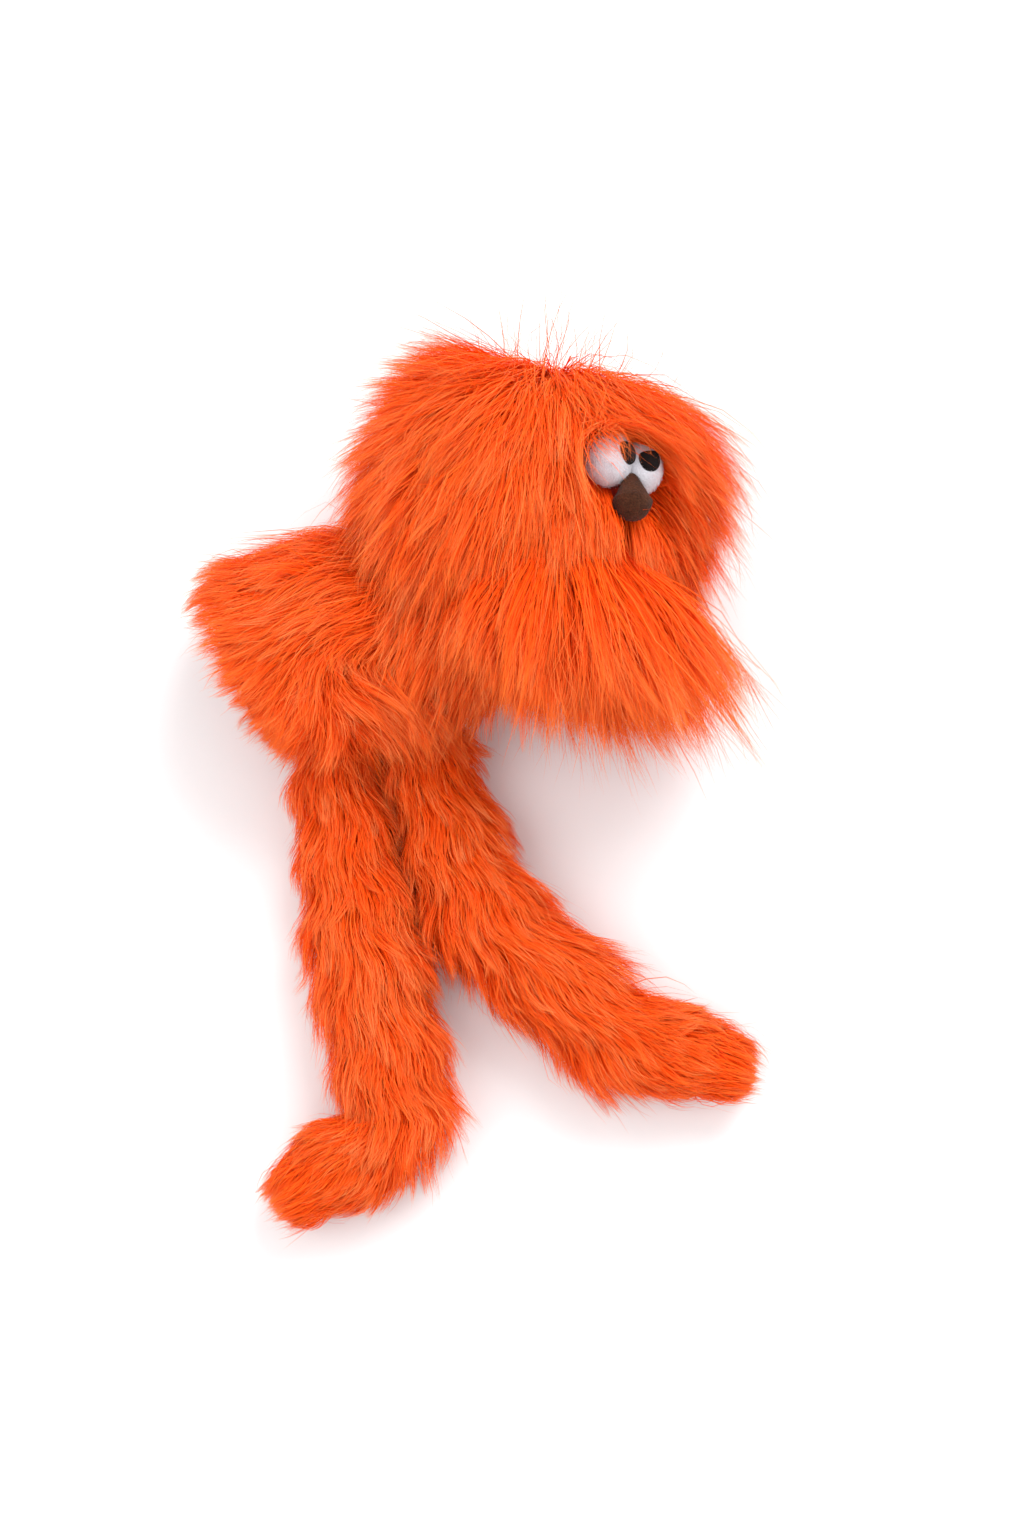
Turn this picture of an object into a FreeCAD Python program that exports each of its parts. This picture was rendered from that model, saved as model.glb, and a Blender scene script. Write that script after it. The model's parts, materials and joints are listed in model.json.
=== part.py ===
"""Long-pile fur hand puppet with a moving mouth, lying on its back and cheek on a flat surface.

Frame: origin on the surface under the middle of the torso, +Z up, +Y from the feet to the crown,
+X towards the side the face looks to. Millimetres. Soft parts are closed solids whose outer
surface stands for the mean ends of the pile.
"""

import FreeCAD
import Part
import math
import os

from FreeCAD import Placement, Rotation, Vector

# General values
CLEAR = 0.4            # gap left between a piece and what it sits in
CLOTH = 1.2            # thickness of lining cloth
MOVING_GAP = 1.5       # gap between pieces that slide round each other
FLOOR_SPAN = 1200.0    # side of the block that trims the pile where it rests

# Torso: a padded barrel round the sleeve that the hand goes through
TORSO_X = 8.0
TORSO_Y = 2.0
TORSO_Z = 48.0
TORSO_HEADING = 18.0
TORSO_HALF_LENGTH = 50.0
TORSO_RADIUS = 52.0
TORSO_END_RADIUS = 39.0
TORSO_PILE = 13.0
TORSO_FRONT_WALL = 6.0
PADDING_END_RADIUS = 35.0
SLEEVE_RADIUS = 30.0
CUFF_LENGTH = 18.0
CUFF_WALL = 3.5
CUFF_OVERHANG = 5.0

# Neck: a short fur tube, a socket on the torso and a ball in the head
NECK_BASE_FORWARD = 28.0
NECK_BASE_RADIUS = 43.0
NECK_LENGTH = 50.0
NECK_RISE = 3.0
NECK_RADIUS = 40.0
NECK_SLEEVE_RADIUS = 27.0
NAPE_FLARE = 10.0
NECK_PASSAGE_REACH = 60.0

# Head: local x looks out of the face, local y goes to the crown, local z goes across the face
HEAD_X = 118.0
HEAD_Y = 69.0
HEAD_Z = 78.0
FACE_ELEVATION = 48.0
SKULL_RADIUS = 60.0
COAT_RADIUS = 90.0
COAT_FORWARD = 10.0
COAT_SIDEWAYS = -10.0

# Mouth
MOUTH_DROP = 36.0
MOUTH_HINGE_FORWARD = 4.0
MOUTH_HINGE_RADIUS = 3.0
MOUTH_OPENING = 30.0
JAW_ANGLE = 60.0
THROAT_SPARE_ANGLE = 3.0
LIP_GAP = 1.2
LIP_INSET = 2.0
LIP_SIDE_INSET = 10.0
PLATE = 2.0
HAND_SPACE_HEIGHT = 36.0
HAND_SPACE_HALF_WIDTH = 34.0
HAND_SPACE_BACK = 60.0
HAND_SPACE_FRONT = 34.0
HAND_SPACE_ROUNDING = 9.0
FINGER_POCKET_LENGTH = 26.0
FINGER_POCKET_HEIGHT = 17.0
THUMB_RADIUS = 10.0
THUMB_DROP = 15.5
THUMB_DEPTH = 30.0

# Lower jaw
JAW_FOAM_RADIUS = 42.0
JAW_FOAM_FORWARD = 14.0
JAW_FOAM_DEPTH = 30.0
BEARD_RADIUS = 58.0
BEARD_FORWARD = 48.0
BEARD_DROP = 76.0
BEARD_SIDEWAYS = -6.0

# Face
FACE_HOLLOW_RADIUS = 37.0
FACE_HOLLOW_DROP = 8.0
EYE_RADIUS = 13.5
EYE_FORWARD = 66.0
EYE_HALF_SPACING = 10.8
EYE_GAP = 0.6
PUPIL_RADIUS = 6.2
PUPIL_INWARD = 3.0
PUPIL_THICKNESS = 1.4
PUPIL_FLAT_HEIGHT = 2.8
NOSE_BRIDGE_RADIUS = 5.0
NOSE_TIP_RADIUS = 9.0
NOSE_FORWARD = 73.0
NOSE_BRIDGE_DROP = 12.0
NOSE_TIP_DROP = 21.0

# Legs
HIP_OUT = 6.0
HIP_HALF_SPACING = 23.5
HIP_FORWARD = 3.5
LEG_AXIS_Z = 23.5
JOINT_GAP = 4.0
ANKLE_GAP = 9.0
LEG_PILE = 10.0
HIP_RADIUS = 22.0
KNEE_RADIUS = 26.0
ANKLE_RADIUS = 24.5
TOE_RADIUS = 25.5
THIGH_LENGTH = 104.0
SHIN_LENGTH = 100.0
FOOT_LENGTH = 78.0
TAPE_REACH = 3.2
HIP_TAPE_REACH = 0.8
TAPE_WIDTH = 22.0
HIP_TAPE_WIDTH = 14.0
HEADINGS = {
    "left": {"thigh": 10.0, "shin": 13.0, "foot": -55.0},
    "right": {"thigh": 19.0, "shin": 46.0, "foot": 74.0},
}

LIP_REACH = math.sqrt(SKULL_RADIUS ** 2 - MOUTH_DROP ** 2)
LIP_DEPTH = LIP_REACH - MOUTH_HINGE_FORWARD - MOUTH_HINGE_RADIUS - CLEAR - LIP_INSET
LIP_HALF_WIDTH = LIP_REACH - LIP_SIDE_INSET
TORSO_FRAME = Placement(Vector(TORSO_X, TORSO_Y, TORSO_Z), Rotation(Vector(0, 0, 1), TORSO_HEADING))
HEAD_FRAME = Placement(Vector(HEAD_X, HEAD_Y, HEAD_Z), Rotation(Vector(0, 1, 0), -FACE_ELEVATION))


def write(name, shape):
    """Write one named piece."""
    shape.exportStep(os.path.join("parts", name + ".step"))


def placed(shape, frame):
    """A copy of a shape moved from a local frame into the common one."""
    moved = shape.copy()
    moved.Placement = frame.multiply(moved.Placement)
    return moved


def barrel(half_length, middle_radius, end_radius):
    """A solid of revolution about local x with flat ends and a bulging side."""
    left = Vector(-half_length, end_radius, 0)
    right = Vector(half_length, end_radius, 0)
    edges = [
        Part.Arc(left, Vector(0, middle_radius, 0), right).toShape(),
        Part.LineSegment(right, Vector(half_length, 0, 0)).toShape(),
        Part.LineSegment(Vector(half_length, 0, 0), Vector(-half_length, 0, 0)).toShape(),
        Part.LineSegment(Vector(-half_length, 0, 0), left).toShape(),
    ]
    return Part.Face(Part.Wire(edges)).revolve(Vector(0, 0, 0), Vector(1, 0, 0), 360.0)


def block(x_from, x_to, y_from, y_to, z_from, z_to):
    """A rectangular block between two corners."""
    corner = Vector(x_from, y_from, z_from)
    return Part.makeBox(x_to - x_from, y_to - y_from, z_to - z_from, corner)


def rod(start, end, radius):
    """A round bar between two points."""
    along = end - start
    return Part.makeCylinder(radius, along.Length, start, along)


def above_floor(shape, frame):
    """The part of a shape, given in a local frame, that lies above the surface the puppet rests on."""
    half = FLOOR_SPAN / 2.0
    return shape.cut(placed(block(-half, half, -half, half, -half, 0.0), frame.inverse()))


def capsule(start, end, start_radius, end_radius):
    """A round-ended tapered bar along local x; start and end are the centres of its round ends."""
    tilt = math.asin((end_radius - start_radius) / (end - start))
    side = math.pi / 2.0 + tilt

    def rim(centre, radius, angle):
        return Vector(centre + radius * math.cos(angle), radius * math.sin(angle), 0.0)

    first = rim(start, start_radius, math.pi)
    last = rim(end, end_radius, 0.0)
    first_middle = rim(start, start_radius, (math.pi + side) / 2.0)
    edges = [
        Part.Arc(first, first_middle, rim(start, start_radius, side)).toShape(),
        Part.LineSegment(rim(start, start_radius, side), rim(end, end_radius, side)).toShape(),
        Part.Arc(rim(end, end_radius, side), rim(end, end_radius, side / 2.0), last).toShape(),
        Part.LineSegment(last, first).toShape(),
    ]
    face = Part.Face(Part.Wire(edges))
    return face.revolve(Vector(0, 0, 0), Vector(1, 0, 0), 360.0)


def lip_outline(front, half_width, low, high):
    """A half-oval board across the mouth, between two heights in the head's frame."""
    long_tip = Vector(front, 0, 0)
    short_tip = Vector(0, half_width, 0)
    if half_width > front:
        long_tip, short_tip = short_tip, Vector(-front, 0, 0)
    oval = Part.Ellipse(long_tip, short_tip, Vector(0, 0, 0)).toShape()
    board = Part.Face(Part.Wire([oval])).extrude(Vector(0, 0, high - low))
    wide = 2.0 * (front + half_width)
    board = board.cut(block(-wide, 0.0, -wide, wide, -1.0, high - low + 1.0))
    board.rotate(Vector(0, 0, 0), Vector(1, 0, 0), -90.0)
    board.translate(Vector(MOUTH_HINGE_FORWARD + MOUTH_HINGE_RADIUS + CLEAR, low, 0.0))
    return board


def wedge(angle_from, angle_to):
    """Everything between two downward angles about the mouth's hinge line."""
    reach = 4.0 * COAT_RADIUS
    hinge = Vector(MOUTH_HINGE_FORWARD, -MOUTH_DROP, -reach)

    def ray(angle):
        turn = math.radians(-angle)
        return hinge + Vector(reach * math.cos(turn), reach * math.sin(turn), 0.0)

    middle = ray((angle_from + angle_to) / 2.0)
    corners = [hinge, ray(angle_from), hinge + (middle - hinge) * 2.0, ray(angle_to), hinge]
    return Part.Face(Part.makePolygon(corners)).extrude(Vector(0, 0, 2.0 * reach))


def hinge_rod(radius):
    """A bar along the mouth's hinge line."""
    reach = 2.0 * COAT_RADIUS
    centre = Vector(MOUTH_HINGE_FORWARD, -MOUTH_DROP, 0.0)
    return rod(centre - Vector(0, 0, reach), centre + Vector(0, 0, reach), radius)


def neck_base():
    """Centre of the joint between torso and neck."""
    return TORSO_FRAME.multVec(Vector(NECK_BASE_FORWARD, 0, 0))


def neck_top():
    """Centre of the joint between neck and head."""
    return TORSO_FRAME.multVec(Vector(NECK_BASE_FORWARD + NECK_LENGTH, 0, NECK_RISE))


def torso_coat():
    """Outer surface of the torso's pile, with the round front that the neck turns on."""
    body = barrel(TORSO_HALF_LENGTH, TORSO_RADIUS, TORSO_END_RADIUS)
    far = 2.0 * TORSO_HALF_LENGTH
    body = body.cut(block(NECK_BASE_FORWARD, far, -far, far, -far, far))
    return body.fuse(Part.makeSphere(NECK_BASE_RADIUS, Vector(NECK_BASE_FORWARD, 0, 0)))


def torso_padding_core(spare):
    """The space inside the torso's coat that its padding fills."""
    length = TORSO_HALF_LENGTH - TORSO_PILE
    core = barrel(length - spare, TORSO_RADIUS - TORSO_PILE - spare, PADDING_END_RADIUS - spare)
    front = NECK_BASE_FORWARD - TORSO_FRONT_WALL - spare
    wide = 2.0 * TORSO_RADIUS
    return core.cut(block(front, front + wide, -wide, wide, -wide, wide))


def sleeve(radius, start, end):
    """A round bar along the torso's sleeve."""
    return rod(Vector(start, 0, 0), Vector(end, 0, 0), radius)


def build_torso():
    """Coat in an upper and a lower panel, padding, sleeve lining and the cuff at the opening."""
    far = 2.0 * TORSO_HALF_LENGTH
    lining_outer = SLEEVE_RADIUS + CLOTH
    cuff_start = -TORSO_HALF_LENGTH - CUFF_OVERHANG
    cuff_end = cuff_start + CUFF_LENGTH
    cuff_outer = SLEEVE_RADIUS + CUFF_WALL
    lining_front = NECK_BASE_FORWARD + math.sqrt(NECK_BASE_RADIUS ** 2 - lining_outer ** 2) - CLEAR

    coat = torso_coat().cut(torso_padding_core(0.0)).cut(sleeve(lining_outer + CLEAR, -far, far))
    coat = coat.cut(sleeve(cuff_outer + CLEAR, -far, cuff_end + CLEAR))
    coat = above_floor(coat, TORSO_FRAME)
    below_seam = block(-far, far, -far, far, -far, 0.0)
    write("torso_fur_top", placed(coat.cut(below_seam), TORSO_FRAME))
    write("torso_fur_bottom", placed(coat.common(below_seam), TORSO_FRAME))

    padding = torso_padding_core(CLEAR).cut(sleeve(cuff_outer + CLEAR, -far, cuff_end + CLEAR))
    padding = padding.cut(sleeve(lining_outer + CLEAR, -far, far))
    write("torso_padding", placed(padding, TORSO_FRAME))

    lining = sleeve(lining_outer, cuff_end, lining_front).cut(sleeve(SLEEVE_RADIUS, -far, far))
    write("sleeve_lining", placed(lining, TORSO_FRAME))

    cuff = sleeve(cuff_outer, cuff_start, cuff_end).cut(sleeve(SLEEVE_RADIUS, -far, far))
    write("hand_cuff", placed(cuff, TORSO_FRAME))


def build_neck():
    """Fur tube and its lining, hollow for the hand."""
    base = neck_base()
    top = neck_top()
    lining_outer = NECK_SLEEVE_RADIUS + CLOTH
    hollow = NECK_BASE_RADIUS + MOVING_GAP
    socket = Part.makeSphere(hollow, base)
    ball = Part.makeSphere(NECK_RADIUS, top)
    past = (top - base).normalize() * NECK_RADIUS
    into_head = (HEAD_FRAME.Base - top).normalize() * NECK_PASSAGE_REACH

    def passage(radius):
        straight = rod(base, top, radius)
        return straight.fuse(Part.makeSphere(radius, top)).fuse(rod(top, top + into_head, radius))

    tube = rod(base, top, NECK_RADIUS).fuse(ball).cut(socket)
    write("neck_fur", tube.cut(passage(lining_outer + CLEAR)))

    skin = passage(lining_outer).cut(passage(NECK_SLEEVE_RADIUS))
    inside = rod(base, top + past, NECK_RADIUS * 2).common(Part.makeSphere(NECK_RADIUS - CLEAR, top))
    inside = inside.fuse(rod(base, top, NECK_RADIUS)).cut(socket)
    write("neck_lining", skin.common(inside).cut(Part.makeSphere(hollow, base)))


def head_passage():
    """The way that the hand takes from the neck into the head, in the head's frame."""
    entry = HEAD_FRAME.inverse().multVec(neck_top())
    inner = Vector(-HAND_SPACE_FRONT, -MOUTH_DROP / 2.0, 0)
    outside = HEAD_FRAME.inverse().multVec(neck_base())
    socket = Part.makeSphere(NECK_RADIUS + MOVING_GAP, entry)
    nape = rod(entry, outside, NECK_RADIUS + NAPE_FLARE)
    way_in = rod(entry, inner, NECK_SLEEVE_RADIUS)
    return socket.fuse(nape).fuse(way_in).fuse(Part.makeSphere(NECK_SLEEVE_RADIUS, inner))


def hand_space(spare):
    """The hollow above the upper lip board, where four fingers go."""
    floor = -MOUTH_DROP + LIP_GAP / 2.0 + CLOTH + PLATE
    space = block(
        -HAND_SPACE_BACK,
        HAND_SPACE_FRONT + spare,
        floor,
        floor + HAND_SPACE_HEIGHT + spare,
        -HAND_SPACE_HALF_WIDTH - spare,
        HAND_SPACE_HALF_WIDTH + spare,
    )
    top = floor + HAND_SPACE_HEIGHT
    long_edges = []
    for edge in space.Edges:
        along_x = abs(edge.tangentAt(edge.FirstParameter).x) > 0.9
        if along_x and edge.CenterOfMass.y > (floor + top) / 2.0:
            long_edges.append(edge)
    return space.makeFillet(HAND_SPACE_ROUNDING, long_edges)


def face_hollow():
    """The clearing in the pile round the eyes and the nose."""
    start = Vector(SKULL_RADIUS / 2.0, -FACE_HOLLOW_DROP, 0)
    return rod(start, start + Vector(3 * COAT_RADIUS, 0, 0), FACE_HOLLOW_RADIUS)


def skull(spare):
    """The foam core of the head."""
    return Part.makeSphere(SKULL_RADIUS + spare)


def build_head():
    """Fur coat, foam core, upper lip board with its lining and finger pocket, and the mouth's hinge tape."""
    mouth = wedge(0.0, JAW_ANGLE + MOUTH_OPENING + THROAT_SPARE_ANGLE)
    board_low = -MOUTH_DROP + LIP_GAP / 2.0 + CLOTH
    board_high = board_low + PLATE
    lips = lip_outline(LIP_DEPTH + CLEAR, LIP_HALF_WIDTH + CLEAR, -MOUTH_DROP - 1.0, board_high + CLEAR)
    passage = head_passage()
    hinge = hinge_rod(MOUTH_HINGE_RADIUS)
    space = hand_space(0.0)

    core = skull(0.0).cut(mouth).cut(lips).cut(passage).cut(hinge).cut(space)
    write("skull_foam", placed(core, HEAD_FRAME))

    coat = Part.makeSphere(COAT_RADIUS, Vector(COAT_FORWARD, 0, COAT_SIDEWAYS))
    coat = above_floor(coat, HEAD_FRAME)
    for hollow in (mouth, hinge, skull(CLEAR), passage, face_hollow(), space):
        coat = coat.cut(hollow)
    write("head_fur", placed(coat, HEAD_FRAME))

    board = lip_outline(LIP_DEPTH, LIP_HALF_WIDTH, board_low, board_high).cut(passage)
    write("upper_mouth_board", placed(board, HEAD_FRAME))
    felt = lip_outline(LIP_DEPTH, LIP_HALF_WIDTH, -MOUTH_DROP + LIP_GAP / 2.0, board_low).cut(passage)
    write("upper_mouth_lining", placed(felt, HEAD_FRAME))

    width = HAND_SPACE_HALF_WIDTH - 2.0 * CLEAR
    pocket_start = HAND_SPACE_FRONT - FINGER_POCKET_LENGTH
    pocket = block(
        pocket_start, HAND_SPACE_FRONT - CLEAR, board_high, board_high + FINGER_POCKET_HEIGHT, -width, width
    )
    inner_width = width - CLOTH
    pocket = pocket.cut(
        block(
            pocket_start - 1.0,
            HAND_SPACE_FRONT - CLEAR - CLOTH,
            board_high + CLOTH,
            board_high + FINGER_POCKET_HEIGHT - CLOTH,
            -inner_width,
            inner_width,
        )
    )
    write("finger_pocket", placed(pocket, HEAD_FRAME))

    tape = hinge_rod(MOUTH_HINGE_RADIUS - CLEAR)
    tape = tape.common(block(0, SKULL_RADIUS, -2 * MOUTH_DROP, 0, -LIP_HALF_WIDTH, LIP_HALF_WIDTH))
    tape = tape.cut(passage)
    write("mouth_hinge_tape", placed(tape, HEAD_FRAME))


def eye_centre(side):
    """Centre of one eye ball; side is +1 or -1."""
    return Vector(EYE_FORWARD, 0.0, side * EYE_HALF_SPACING)


def eye(side, spare):
    """One eye ball against the foam, cut flat where it meets the other eye."""
    ball = Part.makeSphere(EYE_RADIUS + spare, eye_centre(side))
    reach = 3.0 * EYE_RADIUS
    low, high = (0.0 - reach, EYE_GAP / 2.0 - spare) if side > 0 else (spare - EYE_GAP / 2.0, reach)
    ball = ball.cut(block(0, 2 * EYE_FORWARD, -reach, reach, low, high))
    return ball.cut(skull(CLEAR / 2.0 - spare))


def build_face():
    """White plush eyes with felt pupils, and the stuffed felt nose below them."""
    nose = capsule(NOSE_BRIDGE_DROP, NOSE_TIP_DROP, NOSE_BRIDGE_RADIUS, NOSE_TIP_RADIUS)
    nose.rotate(Vector(0, 0, 0), Vector(0, 0, 1), -90.0)
    nose.translate(Vector(NOSE_FORWARD, 0, 0))
    nose = nose.cut(skull(CLEAR / 2.0))
    far = 3.0 * EYE_FORWARD
    for name, side in (("left", -1.0), ("right", 1.0)):
        ball = eye(side, 0.0)
        nose = nose.cut(eye(side, CLEAR / 2.0))
        centre = eye_centre(side)
        look = Vector(centre.x, centre.y, centre.z - side * PUPIL_INWARD)
        above_pupil = block(0, far, PUPIL_FLAT_HEIGHT, far, -far, far)
        patch = rod(look, look + Vector(2 * EYE_RADIUS, 0, 0), PUPIL_RADIUS)
        cap = Part.makeSphere(EYE_RADIUS + PUPIL_THICKNESS, centre).cut(Part.makeSphere(EYE_RADIUS, centre))
        disc = cap.common(patch).cut(above_pupil)
        nose = nose.cut(rod(look, look + Vector(2 * EYE_RADIUS, 0, 0), PUPIL_RADIUS + CLEAR))
        write(name + "_eye", placed(ball, HEAD_FRAME))
        write(name + "_pupil", placed(disc, HEAD_FRAME))
    write("nose", placed(nose, HEAD_FRAME))


def build_jaw():
    """Beard coat, foam core, lower lip board with its lining, and the thumb pocket."""
    reach = wedge(0.0, JAW_ANGLE)
    top = -MOUTH_DROP - LIP_GAP / 2.0
    board_high = top - CLOTH
    board_low = board_high - PLATE
    far = 3.0 * COAT_RADIUS
    upper = block(-far, far, top, far, -far, far)
    hinge = hinge_rod(MOUTH_HINGE_RADIUS)
    lips = lip_outline(LIP_DEPTH + CLEAR, LIP_HALF_WIDTH + CLEAR, board_low - CLEAR, top + 1.0)
    thumb_axis = board_low - THUMB_DROP

    def thumb(radius, end):
        return capsule(-HAND_SPACE_BACK, end, radius, radius).translated(Vector(0, thumb_axis, 0))

    def foam_ball(spare):
        rise = JAW_FOAM_RADIUS - JAW_FOAM_DEPTH
        centre = Vector(MOUTH_HINGE_FORWARD + JAW_FOAM_FORWARD, board_low + rise, 0)
        return Part.makeSphere(JAW_FOAM_RADIUS + spare, centre)

    foam = foam_ball(0.0).cut(block(-far, far, board_low - CLEAR, far, -far, far)).common(reach)
    pocket_outer = THUMB_RADIUS + CLOTH
    core = foam.cut(hinge).cut(thumb(pocket_outer + CLEAR, THUMB_DEPTH))
    write("jaw_foam", placed(core, HEAD_FRAME))

    beard = Part.makeSphere(BEARD_RADIUS, Vector(BEARD_FORWARD, -BEARD_DROP, BEARD_SIDEWAYS))
    beard = beard.common(reach).cut(upper).cut(foam_ball(CLEAR)).cut(lips).cut(hinge)
    beard = beard.cut(thumb(pocket_outer + CLEAR, THUMB_DEPTH))
    write("beard_fur", placed(beard, HEAD_FRAME))

    board = lip_outline(LIP_DEPTH, LIP_HALF_WIDTH, board_low, board_high)
    write("lower_mouth_board", placed(board, HEAD_FRAME))
    felt = lip_outline(LIP_DEPTH, LIP_HALF_WIDTH, board_high, top)
    write("lower_mouth_lining", placed(felt, HEAD_FRAME))

    pocket = thumb(pocket_outer, THUMB_DEPTH).cut(thumb(THUMB_RADIUS, THUMB_DEPTH)).common(foam)
    write("thumb_pocket", placed(pocket, HEAD_FRAME))


def leg_frame(point, heading):
    """A frame at a joint, with local x along the leg; heading turns from -Y towards +X."""
    return Placement(Vector(point.x, point.y, LEG_AXIS_Z), Rotation(Vector(0, 0, 1), heading - 90.0))


def leg_points(side):
    """Hip, knee and ankle centres of one leg."""
    along = HIP_FORWARD + (HIP_HALF_SPACING if side == "right" else -HIP_HALF_SPACING)
    hip = TORSO_FRAME.multVec(Vector(along, -TORSO_RADIUS - HIP_OUT, 0))
    hip.z = LEG_AXIS_Z
    points = [hip]
    for part, length in (("thigh", THIGH_LENGTH), ("shin", SHIN_LENGTH)):
        frame = leg_frame(points[-1], HEADINGS[side][part])
        points.append(frame.multVec(Vector(length, 0, 0)))
    return points


def build_segment(name, frame, length, radii, gaps):
    """Fur coat and stuffing of one leg segment."""
    start_radius, end_radius = radii
    start_gap, end_gap = gaps
    start = start_gap + start_radius
    end = length - end_gap - end_radius
    inner_start = start_radius - LEG_PILE
    inner_end = end_radius - LEG_PILE
    coat = capsule(start, end, start_radius, end_radius).cut(capsule(start, end, inner_start, inner_end))
    write(name + "_fur", placed(above_floor(coat, frame), frame))
    stuffing = capsule(start, end, inner_start - CLEAR, inner_end - CLEAR)
    write(name + "_stuffing", placed(stuffing, frame))


def build_leg(side):
    """Thigh, shin and foot with the sewn tapes that they bend on."""
    hip, knee, ankle = leg_points(side)
    turns = HEADINGS[side]
    thigh = leg_frame(hip, turns["thigh"])
    shin = leg_frame(knee, turns["shin"])
    foot = leg_frame(ankle, turns["foot"])
    build_segment(side + "_thigh", thigh, THIGH_LENGTH, (HIP_RADIUS, KNEE_RADIUS), (JOINT_GAP, JOINT_GAP))
    build_segment(side + "_shin", shin, SHIN_LENGTH, (KNEE_RADIUS, ANKLE_RADIUS), (JOINT_GAP, ANKLE_GAP))
    build_segment(side + "_foot", foot, FOOT_LENGTH, (ANKLE_RADIUS, TOE_RADIUS), (ANKLE_GAP, 0.0))

    half = TAPE_WIDTH / 2.0
    thin = CLOTH / 2.0
    tapes = (
        ("knee", thigh, THIGH_LENGTH, KNEE_RADIUS, JOINT_GAP),
        ("ankle", shin, SHIN_LENGTH, ANKLE_RADIUS, ANKLE_GAP),
    )
    for name, frame, length, radius, gap in tapes:
        tape = block(length - gap, length + TAPE_REACH, -thin, thin, -half, half)
        tape = tape.cut(Part.makeSphere(radius, Vector(length - gap - radius, 0, 0)))
        write(side + "_" + name + "_tape", placed(tape, frame))

    half = HIP_TAPE_WIDTH / 2.0
    tape = block(
        hip.x - half,
        hip.x + half,
        hip.y - HIP_TAPE_REACH,
        hip.y + HIP_OUT + TORSO_RADIUS,
        hip.z - thin,
        hip.z + thin,
    )
    solid_torso = placed(torso_coat(), TORSO_FRAME)
    pieces = tape.cut(solid_torso).Solids
    nearest = min(pieces, key=lambda piece: piece.CenterOfMass.y)
    write(side + "_hip_tape", nearest)


def main():
    """Build every piece."""
    os.makedirs("parts", exist_ok=True)
    build_torso()
    build_neck()
    build_head()
    build_face()
    build_jaw()
    for side in HEADINGS:
        build_leg(side)


main()
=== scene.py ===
import json
import math

import bpy
import mathutils
import numpy as np
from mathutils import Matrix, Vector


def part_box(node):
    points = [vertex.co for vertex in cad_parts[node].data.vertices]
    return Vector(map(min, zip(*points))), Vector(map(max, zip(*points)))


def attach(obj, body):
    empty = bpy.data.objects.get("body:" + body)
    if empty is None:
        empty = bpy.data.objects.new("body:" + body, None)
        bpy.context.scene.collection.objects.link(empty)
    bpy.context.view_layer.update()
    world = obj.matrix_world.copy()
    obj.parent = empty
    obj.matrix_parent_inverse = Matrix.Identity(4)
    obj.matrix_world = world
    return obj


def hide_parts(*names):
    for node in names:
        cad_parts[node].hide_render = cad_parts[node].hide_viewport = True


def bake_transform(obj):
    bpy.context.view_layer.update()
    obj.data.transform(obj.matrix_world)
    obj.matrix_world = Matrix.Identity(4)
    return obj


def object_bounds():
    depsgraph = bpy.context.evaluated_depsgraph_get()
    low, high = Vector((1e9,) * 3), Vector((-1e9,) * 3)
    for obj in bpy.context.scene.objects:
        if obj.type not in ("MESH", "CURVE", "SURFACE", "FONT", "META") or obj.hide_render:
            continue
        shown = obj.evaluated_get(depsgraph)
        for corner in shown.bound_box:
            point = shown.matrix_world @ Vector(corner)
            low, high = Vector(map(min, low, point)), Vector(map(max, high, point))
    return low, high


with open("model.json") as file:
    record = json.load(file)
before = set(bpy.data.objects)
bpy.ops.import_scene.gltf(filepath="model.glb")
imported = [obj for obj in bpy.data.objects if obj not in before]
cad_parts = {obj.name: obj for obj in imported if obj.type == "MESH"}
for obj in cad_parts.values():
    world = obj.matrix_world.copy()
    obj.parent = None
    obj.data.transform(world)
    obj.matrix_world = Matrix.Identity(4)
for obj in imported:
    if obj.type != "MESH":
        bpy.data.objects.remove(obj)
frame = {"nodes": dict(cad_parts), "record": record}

CAD_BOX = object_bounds()
MM = 0.001
DENSITY = 1.0      # share of the pile's strands that is made

# ---------------------------------------------------------------- frame of the puppet


def box_centre(node):
    """Middle of a CAD node's box at rest."""
    low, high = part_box(node)
    return (np.array(low) + np.array(high)) / 2.0


def unit(v):
    """Vectors scaled to length one along the last axis."""
    v = np.asarray(v, dtype=float)
    return v / np.maximum(np.linalg.norm(v, axis=-1, keepdims=True), 1e-9)


JOINT = {j["name"]: j for j in frame["record"]["behaviour"]["joints"]}


def joint_at(name):
    """Where a joint is at rest, in metres."""
    return np.array(JOINT[name]["pos_m"], dtype=float)


UP = np.array([0.0, 0.0, 1.0])
CROWNWARD = np.array([0.0, 1.0, 0.0])
HEAD = box_centre("skull_foam")
ACROSS = unit(-np.array(JOINT["mouth_open"]["axis"], dtype=float))
FACE = unit(np.cross(CROWNWARD, ACROSS))
NECK_BASE = joint_at("neck_swing")
NECK_TOP = joint_at("head_nod")
CUFF = box_centre("hand_cuff")
TORSO_AXIS = unit(NECK_BASE - CUFF)
TORSO = CUFF + TORSO_AXIS * 46.0 * MM


def head_point(forward, crownward, across):
    """Points given in millimetres in the head's own directions."""
    outer = np.multiply.outer
    return HEAD + MM * (outer(forward, FACE) + outer(crownward, CROWNWARD) + outer(across, ACROSS))


# ---------------------------------------------------------------- meshes


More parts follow.
